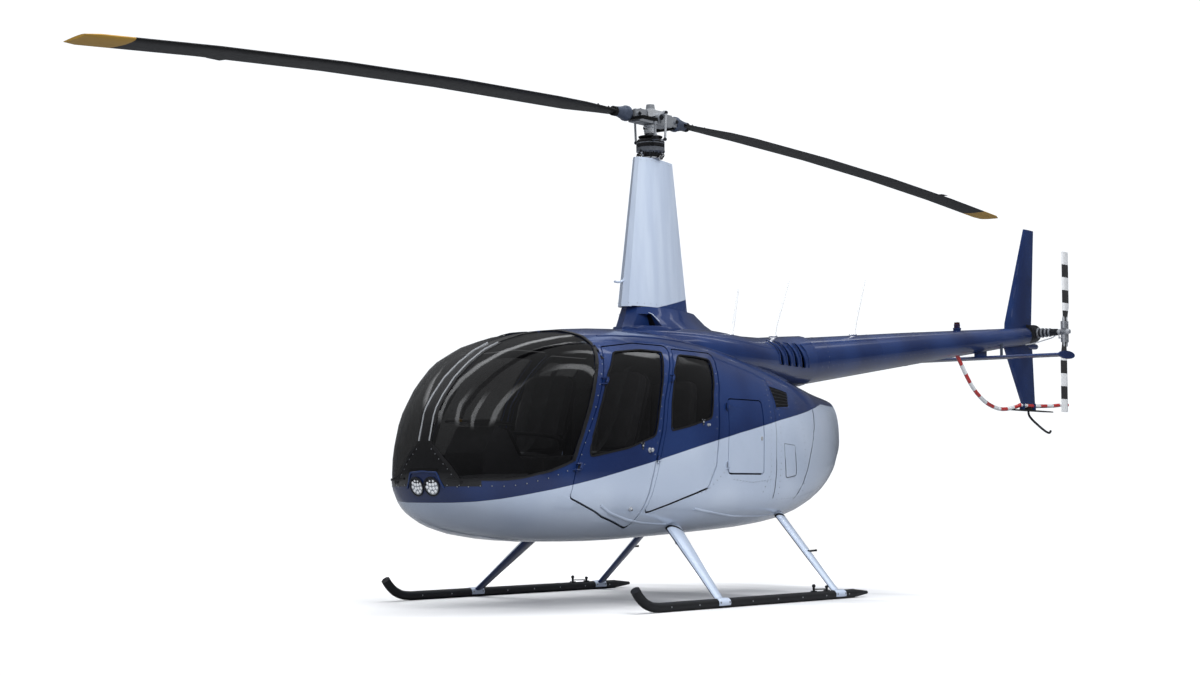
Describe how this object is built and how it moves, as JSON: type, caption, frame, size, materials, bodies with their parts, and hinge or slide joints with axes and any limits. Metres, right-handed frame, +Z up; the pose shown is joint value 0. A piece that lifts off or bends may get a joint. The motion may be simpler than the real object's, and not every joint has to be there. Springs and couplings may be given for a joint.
{
  "type": "helicopter",
  "caption": "Light turbine helicopter on skids, with a rounded cabin, hinged doors, a tall faired mast, a slim tail boom with fins and guard, and rotors that turn.",
  "frame": {"origin": "on the ground under the middle of the aircraft's length, rotor and tail guard included", "axes": "+Z up, -Y to the nose, +Y to the tail, +X to the port side"},
  "size_m": [2.3, 11.675, 3.615],
  "materials": {
    "navy_paint": "gloss",
    "pale_blue_paint": "gloss",
    "black_coating": "satin",
    "black_blade": "matte",
    "white_blade": "gloss",
    "tinted_glass": "gloss",
    "lamp_glass": "gloss",
    "cabin_trim": "matte",
    "seat_leather": "satin",
    "red_paint": "gloss",
    "red_lens": "gloss",
    "exhaust_steel": "satin",
    "bare_metal": "satin"
  },
  "bodies": {
    "airframe": {"cabin_shell": "navy_paint", "engine_bay_shell": "pale_blue_paint", "windshield_left": "tinted_glass", "windshield_right": "tinted_glass", "landing_light_left": "lamp_glass", "landing_light_right": "lamp_glass", "cabin_floor": "cabin_trim", "firewall": "bare_metal", "baggage_bulkhead": "cabin_trim", "seat_front_left": "seat_leather", "seat_front_right": "seat_leather", "seat_rear_bench": "seat_leather", "instrument_console": "cabin_trim", "cyclic_stick": "black_coating", "engine_block": "bare_metal", "exhaust_pipe": "exhaust_steel", "upper_cowl": "navy_paint", "mast_fairing": "pale_blue_paint", "swashplate_fixed": "bare_metal", "tailcone": "navy_paint", "beacon": "red_lens", "fin_upper": "navy_paint", "fin_lower": "navy_paint", "stabiliser": "navy_paint", "tail_gearbox": "bare_metal", "tail_guard": "red_paint", "tail_skid": "black_coating", "skid_left": "black_coating", "skid_right": "black_coating", "strut_front_left": "pale_blue_paint", "strut_front_right": "pale_blue_paint", "strut_rear_left": "pale_blue_paint", "strut_rear_right": "pale_blue_paint"},
    "main_rotor": {"rotor_hub": "bare_metal", "rotor_shaft": "bare_metal", "main_blade_front": "black_blade", "main_blade_aft": "black_blade", "swashplate_turning": "black_coating", "pitch_link_front": "bare_metal", "pitch_link_aft": "bare_metal"},
    "tail_rotor": {"tail_hub": "bare_metal", "tail_blade_upper": "white_blade", "tail_blade_lower": "white_blade"},
    "door_front_left_body": {"door_front_left": "navy_paint", "window_front_left": "tinted_glass"},
    "door_front_right_body": {"door_front_right": "navy_paint", "window_front_right": "tinted_glass"},
    "door_rear_left_body": {"door_rear_left": "navy_paint", "window_rear_left": "tinted_glass"},
    "door_rear_right_body": {"door_rear_right": "navy_paint", "window_rear_right": "tinted_glass"},
    "baggage_door_body": {"baggage_door": "navy_paint"}
  },
  "joints": [
    {"name": "main_rotor_spin", "type": "hinge", "parent": "airframe", "child": "main_rotor", "pos_m": [0, -0.8075, 3.51], "axis": [0, 0, 1], "continuous": true},
    {"name": "tail_rotor_spin", "type": "hinge", "parent": "airframe", "child": "tail_rotor", "pos_m": [0.37, 5.0655, 2.269], "axis": [1, 0, 0], "continuous": true},
    {"name": "door_front_left_swing", "type": "hinge", "parent": "airframe", "child": "door_front_left_body", "pos_m": [0.745, -2.4975, 0.883], "axis": [0.0534, -0.4736, -0.8791], "range_deg": [0, 80]},
    {"name": "door_front_right_swing", "type": "hinge", "parent": "airframe", "child": "door_front_right_body", "pos_m": [-0.745, -2.4975, 0.883], "axis": [0.0534, 0.4736, 0.8791], "range_deg": [0, 80]},
    {"name": "door_rear_left_swing", "type": "hinge", "parent": "airframe", "child": "door_rear_left_body", "pos_m": [0.745, -1.6825, 0.941], "axis": [0.0647, -0.3597, -0.9308], "range_deg": [0, 80]},
    {"name": "door_rear_right_swing", "type": "hinge", "parent": "airframe", "child": "door_rear_right_body", "pos_m": [-0.745, -1.6825, 0.941], "axis": [0.0647, 0.3597, 0.9308], "range_deg": [0, 80]},
    {"name": "baggage_door_swing", "type": "hinge", "parent": "airframe", "child": "baggage_door_body", "pos_m": [0.748, -0.8675, 0.92], "axis": [0.0582, -0.0416, -0.9974], "range_deg": [0, 80]}
  ],
  "couplings": [
    {"joint": "tail_rotor_spin", "follows": "main_rotor_spin", "ratio": -5.75}
  ]
}
